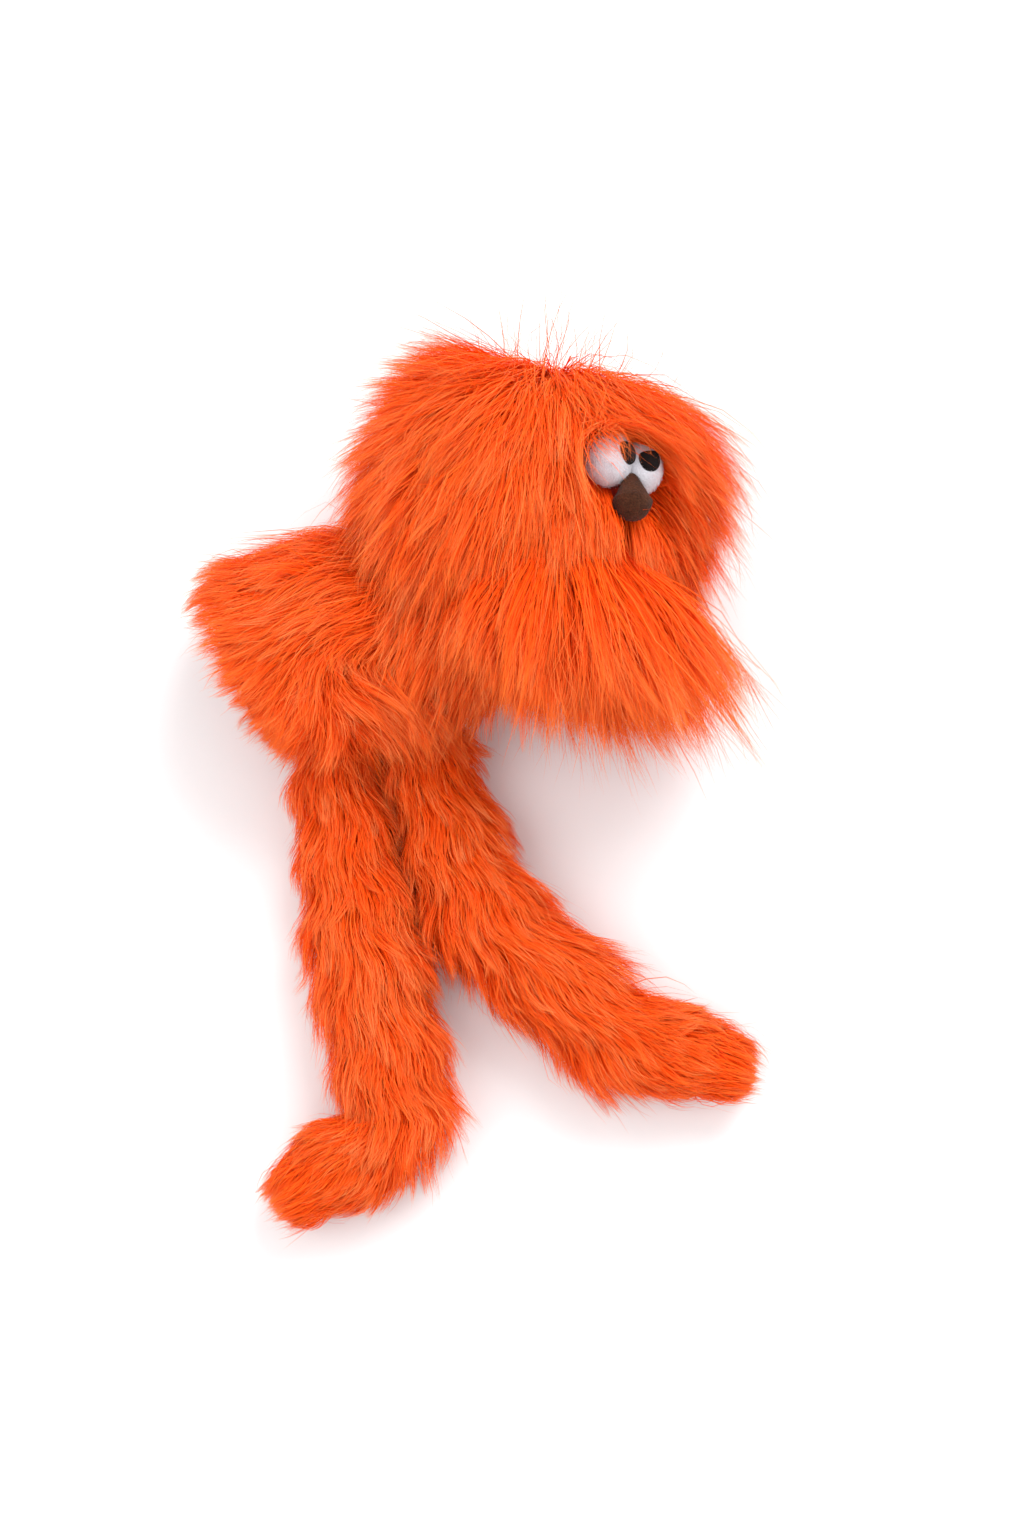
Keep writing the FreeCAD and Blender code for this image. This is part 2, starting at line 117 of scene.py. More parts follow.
def mesh_object(name, vertices, faces, material, uv=None):
    """A smooth mesh object from arrays; uv is one pair per vertex for the OFBake map."""
    mesh = bpy.data.meshes.new(name)
    vertices = np.asarray(vertices, dtype=np.float32)
    mesh.vertices.add(len(vertices))
    mesh.vertices.foreach_set("co", vertices.ravel())
    lengths = np.array([len(f) for f in faces], dtype=np.int32) if isinstance(faces, list) else None
    if lengths is None:
        quads, triangles = faces
        corners = np.concatenate([quads.ravel(), triangles.ravel()]).astype(np.int32)
        lengths = np.concatenate([np.full(len(quads), 4), np.full(len(triangles), 3)]).astype(np.int32)
    else:
        corners = np.concatenate([np.asarray(f, dtype=np.int32) for f in faces])
    mesh.loops.add(len(corners))
    mesh.loops.foreach_set("vertex_index", corners)
    mesh.polygons.add(len(lengths))
    starts = np.concatenate([[0], np.cumsum(lengths)[:-1]]).astype(np.int32)
    mesh.polygons.foreach_set("loop_start", starts)
    mesh.update(calc_edges=True)
    if uv is not None:
        layer = mesh.uv_layers.new(name="OFBake")
        layer.data.foreach_set("uv", np.asarray(uv, dtype=np.float32)[corners].ravel())
    mesh.polygons.foreach_set("use_smooth", np.full(len(lengths), True))
    mesh.validate()
    mesh.materials.append(material)
    thing = bpy.data.objects.new(name, mesh)
    bpy.context.collection.objects.link(thing)
    return thing


def grid_faces(rows, columns, closed):
    """Quads of a grid of points; closed joins the last column to the first."""
    faces = []
    last = columns if closed else columns - 1
    for i in range(rows - 1):
        for j in range(last):
            k = (j + 1) % columns
            faces.append([i * columns + j, i * columns + k, (i + 1) * columns + k, (i + 1) * columns + j])
    return faces


# ---------------------------------------------------------------- materials


def new_material(name, base, roughness, specular=0.3, sheen=0.0):
    """A Principled material and its node tree."""
    material = bpy.data.materials.new(name)
    material.use_nodes = True
    shader = material.node_tree.nodes["Principled BSDF"]
    shader.inputs["Base Color"].default_value = (*base, 1.0)
    shader.inputs["Roughness"].default_value = roughness
    shader.inputs["Specular IOR Level"].default_value = specular
    shader.inputs["Sheen Weight"].default_value = sheen
    return material, material.node_tree, shader


def ramp(tree, source, stops):
    """A colour ramp fed by a socket."""
    node = tree.nodes.new("ShaderNodeValToRGB")
    elements = node.color_ramp.elements
    while len(elements) < len(stops):
        elements.new(0.5)
    for element, (place, colour) in zip(elements, stops):
        element.position = place
        element.color = (*colour, 1.0)
    tree.links.new(source, node.inputs["Fac"])
    return node.outputs["Color"]


def mix(tree, amount, first, second):
    """Mix of two colours; amount is a socket or a number."""
    node = tree.nodes.new("ShaderNodeMix")
    node.data_type = "RGBA"
    if isinstance(amount, float):
        node.inputs["Factor"].default_value = amount
    else:
        tree.links.new(amount, node.inputs["Factor"])
    for socket, value in (("A", first), ("B", second)):
        target = [s for s in node.inputs if s.name == socket and s.type == "RGBA"][0]
        if isinstance(value, tuple):
            target.default_value = (*value, 1.0)
        else:
            tree.links.new(value, target)
    return [s for s in node.outputs if s.type == "RGBA"][0]


def noise(tree, scale, detail=3.0):
    """Noise on the object's own coordinates."""
    place = tree.nodes.new("ShaderNodeTexCoord")
    node = tree.nodes.new("ShaderNodeTexNoise")
    node.inputs["Scale"].default_value = scale
    node.inputs["Detail"].default_value = detail
    tree.links.new(place.outputs["Object"], node.inputs["Vector"])
    return node.outputs["Fac"]


def bump(tree, shader, height, distance, strength=1.0):
    """Bump from a height socket."""
    node = tree.nodes.new("ShaderNodeBump")
    node.inputs["Distance"].default_value = distance
    node.inputs["Strength"].default_value = strength
    tree.links.new(height, node.inputs["Height"])
    tree.links.new(node.outputs["Normal"], shader.inputs["Normal"])


def fibre_material(name, root, middle, tip, painted_highlight, roughness=0.5):
    """Pile: colour runs from root to tip along v, with painted shade darkening the roots deep in the pile
    and a painted highlight lightening the tips. It also varies from strand to strand along u, which sets
    each strand's share of the palest painted highlight colour.
    """
    material, tree, shader = new_material(name, middle, roughness, specular=0.12)
    uv = tree.nodes.new("ShaderNodeUVMap")
    uv.uv_map = "OFBake"
    split = tree.nodes.new("ShaderNodeSeparateXYZ")
    tree.links.new(uv.outputs["UV"], split.inputs["Vector"])
    # root end darker: painted shade deep in the pile; tip end lighter: painted highlight
    along = ramp(tree, split.outputs["Y"], [(0.0, root), (0.28, middle), (0.7, middle), (1.0, tip)])
    # light: a ramp towards the palest painted highlight colour at the tips
    light = ramp(tree, split.outputs["Y"], [(0.0, middle), (0.5, tip), (1.0, painted_highlight)])
    tones = [(0.0, (0.0, 0.0, 0.0)), (0.45, (0.12, 0.12, 0.12)), (1.0, (0.9, 0.9, 0.9))]
    # tone along u: how much of the painted highlight a strand takes
    tone = ramp(tree, split.outputs["X"], tones)
    tree.links.new(mix(tree, tone, along, light), shader.inputs["Base Color"])
    return material


def felt_material(name, dark, light, scale=900.0, sheen=0.35):
    """Matted felt: fine fibres and soft blotches."""
    material, tree, shader = new_material(name, light, 0.95, specular=0.15, sheen=sheen)
    fine = noise(tree, scale, 4.0)
    blotch = noise(tree, scale * 0.12, 2.0)
    colour = ramp(tree, fine, [(0.3, dark), (0.7, light)])
    colour = mix(tree, 0.35, colour, ramp(tree, blotch, [(0.35, dark), (0.65, light)]))
    tree.links.new(colour, shader.inputs["Base Color"])
    bump(tree, shader, fine, 0.0006)
    return material


def weave_material(name, dark, light, threads_per_metre=1400.0, roughness=0.85):
    """Plain woven cloth: two crossed sets of threads."""
    material, tree, shader = new_material(name, light, roughness, specular=0.2, sheen=0.2)
    place = tree.nodes.new("ShaderNodeTexCoord")
    heights = []
    for direction in ("X", "Y"):
        wave = tree.nodes.new("ShaderNodeTexWave")
        wave.bands_direction = direction
        wave.inputs["Scale"].default_value = threads_per_metre / 20.0
        wave.inputs["Distortion"].default_value = 0.6
        tree.links.new(place.outputs["Object"], wave.inputs["Vector"])
        heights.append(wave.outputs["Fac"])
    both = tree.nodes.new("ShaderNodeMath")
    both.operation = "MULTIPLY"
    tree.links.new(heights[0], both.inputs[0])
    tree.links.new(heights[1], both.inputs[1])
    cloudy = noise(tree, 60.0)
    colour = mix(tree, cloudy, ramp(tree, both.outputs[0], [(0.0, dark), (0.6, light)]), dark)
    tree.links.new(colour, shader.inputs["Base Color"])
    bump(tree, shader, both.outputs[0], 0.0004)
    return material


def make_materials():
    """Every material of the puppet."""
    made = {
        # fur and white_pile: the first colour is painted shade at the roots; the last two, the lighter tip
        # and the palest colour, are painted highlight
        "fur": fibre_material(
            "fur_fibre", (0.88, 0.030, 0.0005), (1.0, 0.100, 0.002), (1.0, 0.18, 0.016), (1.0, 0.40, 0.15)
        ),
        "white_pile": fibre_material(
            "white_pile", (0.62, 0.60, 0.64), (0.80, 0.79, 0.83), (0.9, 0.89, 0.93), (0.95, 0.94, 0.97), 0.8
        ),
        "backing": weave_material("fur_backing", (0.50, 0.014, 0.001), (0.80, 0.05, 0.003)),
        "eye": felt_material("eye_plush", (0.62, 0.61, 0.66), (0.84, 0.83, 0.88), 1300.0),
        "pupil": felt_material("pupil_felt", (0.003, 0.002, 0.002), (0.014, 0.009, 0.008), 1500.0, 0.04),
        "nose": felt_material("nose_felt", (0.030, 0.009, 0.004), (0.105, 0.036, 0.016), 1100.0, 0.06),
        "mouth": felt_material("mouth_felt", (0.10, 0.004, 0.004), (0.24, 0.012, 0.012), 900.0),
        "lining": weave_material("lining_cloth", (0.45, 0.03, 0.005), (0.80, 0.10, 0.02)),
        "knit": weave_material("cuff_knit", (0.40, 0.02, 0.003), (0.78, 0.08, 0.012), 700.0),
        "board": felt_material("fibre_board", (0.28, 0.18, 0.09), (0.45, 0.32, 0.19), 500.0),
        "foam": felt_material("carved_foam", (0.62, 0.52, 0.30), (0.80, 0.70, 0.46), 700.0),
        "tape": weave_material("webbing", (0.40, 0.03, 0.01), (0.70, 0.10, 0.03), 900.0),
    }
    return made


MAT = make_materials()

# ---------------------------------------------------------------- pile

STEPS = 6                      # points along one strand
STRANDS = {                    # strands of pile at full density
    "head": 72000, "muzzle": 8600, "beard": 34000, "torso": 27000, "neck": 11000,
    "thigh": 9500, "shin": 9500, "foot": 9000,
}
NAP = {"eye": 4200, "nose": 2600}
FLOOR_CLEARANCE = 0.7 * MM
ROOM_SHARE = 0.03              # how far the pile may pass the CAD box: a share of each side and a margin
ROOM_MARGIN = 9.0 * MM
CAD_SIDES = np.array(CAD_BOX[1]) - np.array(CAD_BOX[0])
ROOM = (
    np.array(CAD_BOX[0]) - ROOM_SHARE * CAD_SIDES - ROOM_MARGIN,
    np.array(CAD_BOX[1]) + ROOM_SHARE * CAD_SIDES + ROOM_MARGIN,
)
STRAYS = 0.012                 # share of strands that may cross the eyes and nose
LOOSE = 0.13                   # share of strands that stand out of their locks
EYES_CENTRE = (-7.0, 1.0)      # middle of the face's clearing: crownward and across, in mm
EYES_REACH = (21.0, 24.0)
CLEARING_FLOOR = 58.0          # from this far forward the clearing widens towards the near side
CLEARING_LEAN = 0.95


def clump_index(roots, centres):
    """For each root, the nearest centre."""
    out = np.empty(len(roots), dtype=int)
    for start in range(0, len(roots), 4000):
        part = roots[start:start + 4000]
        gap = ((part[:, None, :] - centres[None, :, :]) ** 2).sum(-1)
        out[start:start + 4000] = gap.argmin(1)
    return out


def keep_off_face(points, strays):
    """Push pile away from the eyes and nose, except a few stray hairs."""
    offset = (points - HEAD) / MM
    forward = offset @ FACE
    high = offset @ CROWNWARD - EYES_CENTRE[0]
    lean = CLEARING_LEAN * np.maximum(forward - CLEARING_FLOOR, 0.0)
    side = offset @ ACROSS - EYES_CENTRE[1] - lean / 2.0
    reach = np.sqrt((high / EYES_REACH[0]) ** 2 + (side / (EYES_REACH[1] + lean / 2.0)) ** 2)
    inside = (forward > 35.0) & (reach < 1.0) & ~strays
    scale = np.where(inside, 1.0 / np.maximum(reach, 0.15), 1.0)
    moved = points + MM * ((scale - 1.0) * high)[:, None] * CROWNWARD
    return moved + MM * ((scale - 1.0) * side)[:, None] * ACROSS


def grow(roots, normals, flow, length, rng, lift, droop=0.0, wave=0.10, avoid_face=False):
    """Paths of strands: an array of roots by steps by three."""
    count = len(roots)
    stray = rng.random(count) < STRAYS
    points = np.empty((count, STEPS, 3))
    points[:, 0] = roots
    here = roots.copy()
    jitter = rng.normal(0.0, wave, (count, 3))
    curl = rng.normal(0.0, wave * 1.3, (count, 3))
    step = (length / (STEPS - 1))[:, None]
    for k in range(1, STEPS):
        t = (k - 0.5) / (STEPS - 1)
        comb = flow(here)
        lifted = lift[0] * (1.0 - t) + lift[1] * t
        heading = comb + lifted * normals + jitter * (0.4 + t) + curl * math.sin(5.0 * t) - droop * t * UP
        heading = unit(heading)
        here = here + heading * step
        if avoid_face:
            here = keep_off_face(here, stray)
        low = FLOOR_CLEARANCE + rng.random(count) * 1.5 * MM
        here[:, 2] = np.maximum(here[:, 2], low)
        points[:, k] = here
    return points


def keep_in_room(points):
    """Shorten strands that would reach out of the room left round the CAD model."""
    root = points[:, :1]
    reach = points - root
    share = np.ones(len(points))
    for limit, side in ((ROOM[1], 1.0), (ROOM[0], -1.0)):
        over = side * (points - limit)
        room = np.maximum(side * (limit - root), 0.2 * MM)
        fits = np.where(over > 0.0, room / np.maximum(side * reach, 1e-6), 1.0)
        share = np.minimum(share, fits.min(axis=(1, 2)))
    return root + reach * share[:, None, None]


def gather(points, rng, spacing, strength):
    """Draw strands together into locks: tips move towards the lock's middle strand."""
    count = len(points)
    locks = max(3, int(count / max(spacing, 1)))
    leaders = rng.choice(count, locks, replace=False)
    nearest = clump_index(points[:, 0], points[leaders, 0])
    guide = points[leaders][nearest]
    t = np.linspace(0.0, 1.0, STEPS)[None, :, None]
    share = strength[nearest][:, None, None] if isinstance(strength, np.ndarray) else strength
    pull = share * t ** 1.3
    return points + (guide - points) * pull, nearest, locks


def ribbons(points, normals, tones, width, rng):
    """Flat tapered ribbons along strand paths: vertices, quads, triangles and uv."""
    count = len(points)
    tangent = np.gradient(points, axis=1)
    tangent = unit(tangent)
    facing = normals[:, None, :] + rng.normal(0.0, 0.55, (count, 1, 3))
    side = unit(np.cross(tangent, np.broadcast_to(facing, points.shape)))
    t = np.linspace(0.0, 1.0, STEPS)
    taper = (0.35 + 0.65 * np.minimum(1.0, t * 5.0)) * (1.0 - t ** 2.2) + 0.02
    half = 0.5 * width[:, None] * taper[None, :]
    left = points - side * half[..., None]
    right = points + side * half[..., None]
    body = np.stack([left[:, :-1], right[:, :-1]], axis=2).reshape(count, -1, 3)
    tip = points[:, -1:, :]
    vertices = np.concatenate([body, tip], axis=1)
    per = vertices.shape[1]
    base = (np.arange(count) * per)[:, None]
    quads = []
    for k in range(STEPS - 2):
        first = base + 2 * k
        quads.append(np.concatenate([first, first + 1, first + 3, first + 2], axis=1))
    quads = np.stack(quads, axis=1).reshape(-1, 4)
    last = 2 * (STEPS - 2)
    triangles = np.concatenate([base + last, base + last + 1, base + last + 2], axis=1)
    v = np.concatenate([np.repeat(t[:-1], 2), [1.0]])
    u = np.broadcast_to(tones[:, None], (count, per))
    v = np.broadcast_to(v[None, :], (count, per))
    uv = np.stack([u, v], axis=-1)
    return vertices.reshape(-1, 3), quads, triangles, uv.reshape(-1, 2)


def pile(name, roots, normals, flow, length, seed, width=0.55, lock=26, fine=7, hold=(0.75, 0.5), **style):
    """One piece of pile: grown, drawn into locks, and made into ribbons."""
    rng = np.random.default_rng(seed)
    loose = rng.random(len(roots)) < LOOSE
    length = length * np.where(loose, rng.uniform(0.95, 1.3, len(roots)), 1.0)
    free = grow(roots, normals, flow, length, rng, **style)
    strength = rng.uniform(hold[0] * 0.5, hold[0] * 1.15, len(roots))
    held, big, locks = gather(free, rng, lock, strength)
    held, small, wisps = gather(held, rng, fine, hold[1])
    points = np.where(loose[:, None, None], 0.75 * free + 0.25 * held, held)
    points = keep_in_room(points)
    points[:, 1:, 2] = np.maximum(points[:, 1:, 2], FLOOR_CLEARANCE)
    # tone: random per lock, wisp and strand; in the fur material it sets how much of the painted highlight
    # colour each strand takes
    tone = 0.5 * rng.random(locks)[big] + 0.28 * rng.random(wisps)[small]
    tone = tone + 0.35 * rng.random(len(roots)) ** 2
    tone = 0.01 + 0.98 * np.clip(tone, 0.0, 1.0)
    wide = width * MM * rng.uniform(0.6, 1.3, len(roots)) / math.sqrt(DENSITY)
    vertices, quads, triangles, uv = ribbons(points, normals, tone, wide, rng)
    return mesh_object(name, vertices, (quads, triangles), MAT["fur"], uv)


# ---------------------------------------------------------------- surfaces that the pile grows from


def even_directions(count, seed):
    """Evenly spread directions with a little unevenness."""
    rng = np.random.default_rng(seed)
    k = np.arange(count) + 0.5
    z = 1.0 - 2.0 * k / count
    turn = math.pi * (1.0 + 5.0 ** 0.5) * k
    flat = np.sqrt(1.0 - z * z)
    out = np.stack([flat * np.cos(turn), flat * np.sin(turn), z], axis=1)
    return unit(out + rng.normal(0.0, 1.2 / math.sqrt(count), out.shape))


def ball_directions(rows, columns, edge, top):
    """Grid of directions from top round to the other side, ending edge radians short of both."""
    polar = np.linspace(edge, math.pi - edge, rows)
    turn = np.linspace(0, 2 * math.pi, columns, endpoint=False)
    p, q = np.meshgrid(polar, turn, indexing="ij")
    out = (
        np.cos(p)[..., None] * top
        + (np.sin(p) * np.cos(q))[..., None] * FACE
        + (np.sin(p) * np.sin(q))[..., None] * ACROSS
    )
    return out.reshape(-1, 3)


def tube_samples(path, radii, count, seed):
    """Roots, normals and along-directions on a round tube through points of given radii."""
    rng = np.random.default_rng(seed)
    steps = np.linalg.norm(np.diff(path, axis=0), axis=1)
    weight = steps * (radii[:-1] + radii[1:])
    which = rng.choice(len(steps), count, p=weight / weight.sum())
    t = rng.random(count)
    centre = path[which] * (1 - t)[:, None] + path[which + 1] * t[:, None]
    radius = radii[which] * (1 - t) + radii[which + 1] * t
    tangents = unit(np.gradient(path, axis=0))
    along = unit(tangents[which] * (1 - t)[:, None] + tangents[which + 1] * t[:, None])
    sideways = unit(np.cross(along, UP))
    over = np.cross(sideways, along)
    turn = rng.uniform(0, 2 * math.pi, count)
    normal = np.cos(turn)[:, None] * sideways + np.sin(turn)[:, None] * over
    roots = centre + normal * radius[:, None]
    return roots, unit(normal), along


def tube_mesh(name, path, radii, around):
    """Cloth tube through points of given radii."""
    tangents = unit(np.gradient(path, axis=0))
    rows = []
    turn = np.linspace(0, 2 * math.pi, around, endpoint=False)
    for centre, radius, along in zip(path, radii, tangents):
        sideways = unit(np.cross(along, UP))
        over = np.cross(sideways, along)
        ring = centre + radius * (np.cos(turn)[:, None] * sideways + np.sin(turn)[:, None] * over)
        ring[:, 2] = np.maximum(ring[:, 2], 0.4 * MM)
        rows.append(ring)
    faces = grid_faces(len(rows), around, True)
    return mesh_object(name, np.concatenate(rows), faces, MAT["backing"])


# ---------------------------------------------------------------- head and beard

SKIN = 62.8                    # radius of the head's backing cloth, mm
JAW_CENTRE = (18.0, -27.8)     # middle of the lower jaw's ball: forward and crownward, mm
JAW_SKIN = 44.0
HINGE = (4.0, -36.0)
JAW_FROM = -38.4               # top of the lower jaw's cloth
THROAT_ANGLE = 60.0
NAPE_REACH = 43.0
CROWN = HEAD + SKIN * MM * unit(0.34 * FACE + 0.92 * CROWNWARD - 0.02 * ACROSS)
WORLD_X = np.array([1.0, 0.0, 0.0])


def tangential(v, normals):
    """The part of v that lies along a surface."""
    return v - (v * normals).sum(-1, keepdims=True) * normals


def head_flow(points):
    """Pile on the head runs away from the crown, down over the face, and fans out to the right."""
    normal = unit(points - HEAD)
    away = unit(tangential(points - CROWN, normal) + 1e-6)
    right = np.clip((points[:, :1] - HEAD[0] - 5 * MM) / (45 * MM), 0.0, 1.0)
    left = np.clip((HEAD[0] + 5 * MM - points[:, :1]) / (45 * MM), 0.0, 1.0)
    low = np.clip((HEAD[1] - points[:, 1:2]) / (60 * MM), 0.0, 1.0)
    top = np.clip((points[:, 1:2] - HEAD[1] - 20 * MM) / (40 * MM), 0.0, 1.0)
    flow = away - (0.40 - 0.30 * left - 0.30 * top * left) * CROWNWARD
    flow = flow + (0.62 + 0.30 * low) * right * WORLD_X - (0.40 + 0.5 * top) * left * WORLD_X
    swirl = np.cross(normal, away)
    ripple = np.sin(points[:, :1] * 190.0 + points[:, 1:2] * 120.0)
    return unit(flow + (0.10 + 0.16 * ripple) * swirl)


def head_roots(count, seed):
    """Where the head's pile grows: not in the mouth, the nape or under the eyes and nose."""
    out = even_directions(count, seed)
    forward, high, side = out @ FACE * SKIN, out @ CROWNWARD * SKIN, out @ ACROSS * SKIN
    face = np.hypot((high - EYES_CENTRE[0]) / EYES_REACH[0], (side - EYES_CENTRE[1]) / EYES_REACH[1])
    mouth = (high < HINGE[1] + 1.0) & (forward > HINGE[0] - 10.0)
    roots = HEAD + out * SKIN * MM
    nape = np.linalg.norm(roots - NECK_TOP, axis=1) < NAPE_REACH * MM
    keep = ~((forward > 0) & (face < 0.97)) & ~mouth & ~nape
    return roots[keep], out[keep]


def make_head_cloth():
    """Backing cloth of the head, open at the mouth and at the nape."""
    rows, columns = 60, 96
    out = ball_directions(rows, columns, 0.02, CROWNWARD)
    forward, high = out @ FACE * SKIN, out @ CROWNWARD * SKIN
    points = HEAD + out * SKIN * MM
    shut = ((high < HINGE[1] + 0.4) & (forward > HINGE[0] - 12.0)) | (
        np.linalg.norm(points - NECK_TOP, axis=1) < (NAPE_REACH - 4.0) * MM
    )
    faces = [f for f in grid_faces(rows, columns, True) if not shut[f].any()]
    cloth = mesh_object("head_backing", points, faces, MAT["backing"])
    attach(cloth, "head")
    return cloth


def make_head_pile():
    """The head's long pile, in four pieces."""
    roots, normals = head_roots(int(STRANDS["head"] * DENSITY), 11)
    forward, high, side = (((roots - HEAD) @ d) / MM for d in (FACE, CROWNWARD, ACROSS))
    rng = np.random.default_rng(5)
    high_share = (high - EYES_CENTRE[0]) / EYES_REACH[0]
    near_face = np.hypot(high_share, (side - EYES_CENTRE[1]) / EYES_REACH[1])
    brow = np.clip((2.0 - near_face) / 1.0, 0.0, 1.0) * (forward > 10.0)
    away = unit(tangential(roots - CROWN, normals) + 1e-9)
    apart = np.clip(np.abs((roots - HEAD) @ WORLD_X) / (40 * MM), 0.0, 1.0)
    rightward = np.clip(away @ WORLD_X, -1.0, 1.0) * apart
    mean = 70.0 + 26.0 * np.maximum(rightward, 0.0) - 16.0 * np.maximum(-rightward, 0.0)
    length = (mean - 30.0 * brow) * rng.uniform(0.62, 1.12, len(roots)) * MM
    quarter = (side > 0).astype(int) * 2 + (forward > 12.0)
    names = ("far_back", "far_front", "near_back", "near_front")
    for k, name in enumerate(names):
        part = quarter == k
        lift = (0.70, 0.10) if "front" in name else (0.85, 0.36)
        piece = pile(
            "head_pile_" + name, roots[part], normals[part], head_flow, length[part], 40 + k,
            width=0.50, lock=30, fine=7, hold=(0.80, 0.55), lift=lift, droop=0.24, wave=0.13,
            avoid_face=True,
        )
        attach(piece, "head")
    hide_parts("head_fur")


def make_muzzle():
    """Short pile between the eyes and the mouth, parted by the nose and hanging over the lips."""
    count = int(STRANDS["muzzle"] * DENSITY)
    rng = np.random.default_rng(121)
    high = rng.uniform(-36.0, -12.0, count)
    side = rng.uniform(-28.0, 34.0, count)
    apart = np.hypot((high + 20.0) / 9.5, side / 6.5) > 1.0
    high, side = high[apart], side[apart]
    forward = np.sqrt(SKIN ** 2 - high ** 2 - side ** 2)
    normals = (forward[:, None] * FACE + high[:, None] * CROWNWARD + side[:, None] * ACROSS) / SKIN
    roots = HEAD + normals * SKIN * MM

    def down(points):
        spread = (points - HEAD) @ ACROSS / (30 * MM)
        return unit(-CROWNWARD + 0.10 * spread[:, None] * ACROSS)

    length = rng.uniform(26.0, 48.0, len(roots)) * MM
    piece = pile(
        "muzzle_pile", roots, normals, down, length, 122, width=0.5, lock=18, fine=6, hold=(0.7, 0.5),
        lift=(0.42, 0.10), droop=0.04, wave=0.11,
    )
    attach(piece, "head")


def flyaways():
    """Loose single hairs at the crown and the rim of the head."""
    rng = np.random.default_rng(77)
    count = 300
    out = unit(rng.normal(0, 1, (count, 3)) + 0.9 * CROWNWARD + 0.2 * UP)
    roots = HEAD + out * SKIN * MM

    def wander(points):
        normal = unit(points - HEAD)
        return unit(tangential(points - CROWN, normal) + 0.5 * normal + 0.15 * CROWNWARD)

    length = rng.uniform(40.0, 62.0, count) * MM
    piece = pile(
        "head_flyaways", roots, out, wander, length, 78, width=0.34 * math.sqrt(DENSITY), lock=1, fine=3,
        hold=(0.0, 0.3), lift=(0.6, 0.02), wave=0.34, avoid_face=True,
    )
    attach(piece, "head")


def jaw_surface(out):
    """Points of the lower jaw's cloth for directions from its middle, kept below the mouth and in front."""
    forward = out @ FACE * JAW_SKIN + JAW_CENTRE[0]
    high = out @ CROWNWARD * JAW_SKIN + JAW_CENTRE[1]
    side = out @ ACROSS * JAW_SKIN
    high = np.minimum(high, JAW_FROM)
    back = HINGE[0] + (HINGE[1] - high) / math.tan(math.radians(THROAT_ANGLE))
    forward = np.maximum(forward, back + 1.0)
    return forward, high, side


def make_jaw():
    """Backing cloth of the lower jaw and the beard's pile."""
    rows, columns = 36, 64
    out = ball_directions(rows, columns, 0.02, -CROWNWARD)
    forward, high, side = jaw_surface(out)
    points = head_point(forward, high, side)
    cloth = mesh_object("jaw_backing", points, grid_faces(rows, columns, True), MAT["backing"])
    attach(cloth, "jaw")

    out = even_directions(int(STRANDS["beard"] * DENSITY), 21)
    high = out @ CROWNWARD * JAW_SKIN + JAW_CENTRE[1]
    out = out[high < JAW_FROM - 0.5]
    forward, high, side = jaw_surface(out)
    roots = head_point(forward, high, side)
    rng = np.random.default_rng(22)
    rightness = np.clip((roots[:, 0] - HEAD[0] - 14 * MM) / (34 * MM), -1.0, 1.0)
    length = np.clip(1.02 * (136.0 + high), 52.0, 98.0) + np.where(rightness > 0.0, 14.0, 30.0) * rightness
    length = length * rng.uniform(0.62, 1.14, len(roots)) * MM

    def beard_flow(points):
        spread = (points - HEAD) @ ACROSS
        fan = np.clip((points[:, :1] - HEAD[0] - 10 * MM) / (50 * MM), -0.5, 1.0)
        ripple = 0.18 * np.sin(points[:, :1] * 230.0 + points[:, 2:3] * 150.0)
        return unit(-CROWNWARD + (0.55 * fan + ripple) * WORLD_X + 1.2 * spread[:, None] * ACROSS)

    half = (side > 0).astype(int)
    for k, name in enumerate(("far", "near")):
        part = half == k
        piece = pile(
            "beard_pile_" + name, roots[part], out[part], beard_flow, length[part], 60 + k,
            width=0.52, lock=26, fine=7, hold=(0.85, 0.55), lift=(0.75, -0.10), droop=0.35, wave=0.11,
        )
        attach(piece, "jaw")
    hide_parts("beard_fur")


# ---------------------------------------------------------------- torso and neck

TORSO_SKIN = (40.6, 36.2)      # cloth radius at the middle and at the ends, mm
TORSO_REACH = 42.0
TINY = 1e-6                    # keeps doubled points of a path from falling together, in metres


def torso_radius(s):
    """Cloth radius at a distance along the torso, in mm."""
    return TORSO_SKIN[0] - (TORSO_SKIN[0] - TORSO_SKIN[1]) * (s / TORSO_REACH) ** 2


def torso_flow(points):
    """Pile sweeps back to the left and turns down and right under the belly."""
    local = (points - TORSO) / MM
    belly = np.clip((-local[:, 1:2] - 12.0) / 25.0, 0.0, 1.0)
    belly = belly * np.clip((local[:, :1] + 20.0) / 35.0, 0.0, 1.0)
    sweep = -TORSO_AXIS * 0.95 - 0.28 * CROWNWARD
    tuck = 0.55 * TORSO_AXIS - 0.75 * CROWNWARD
    wobble = np.stack([np.sin(local[:, 1] / 9.0), np.sin(local[:, 0] / 11.0), np.zeros(len(local))], axis=1)
    return unit(sweep * (1.0 - belly) + tuck * belly + 0.22 * wobble)


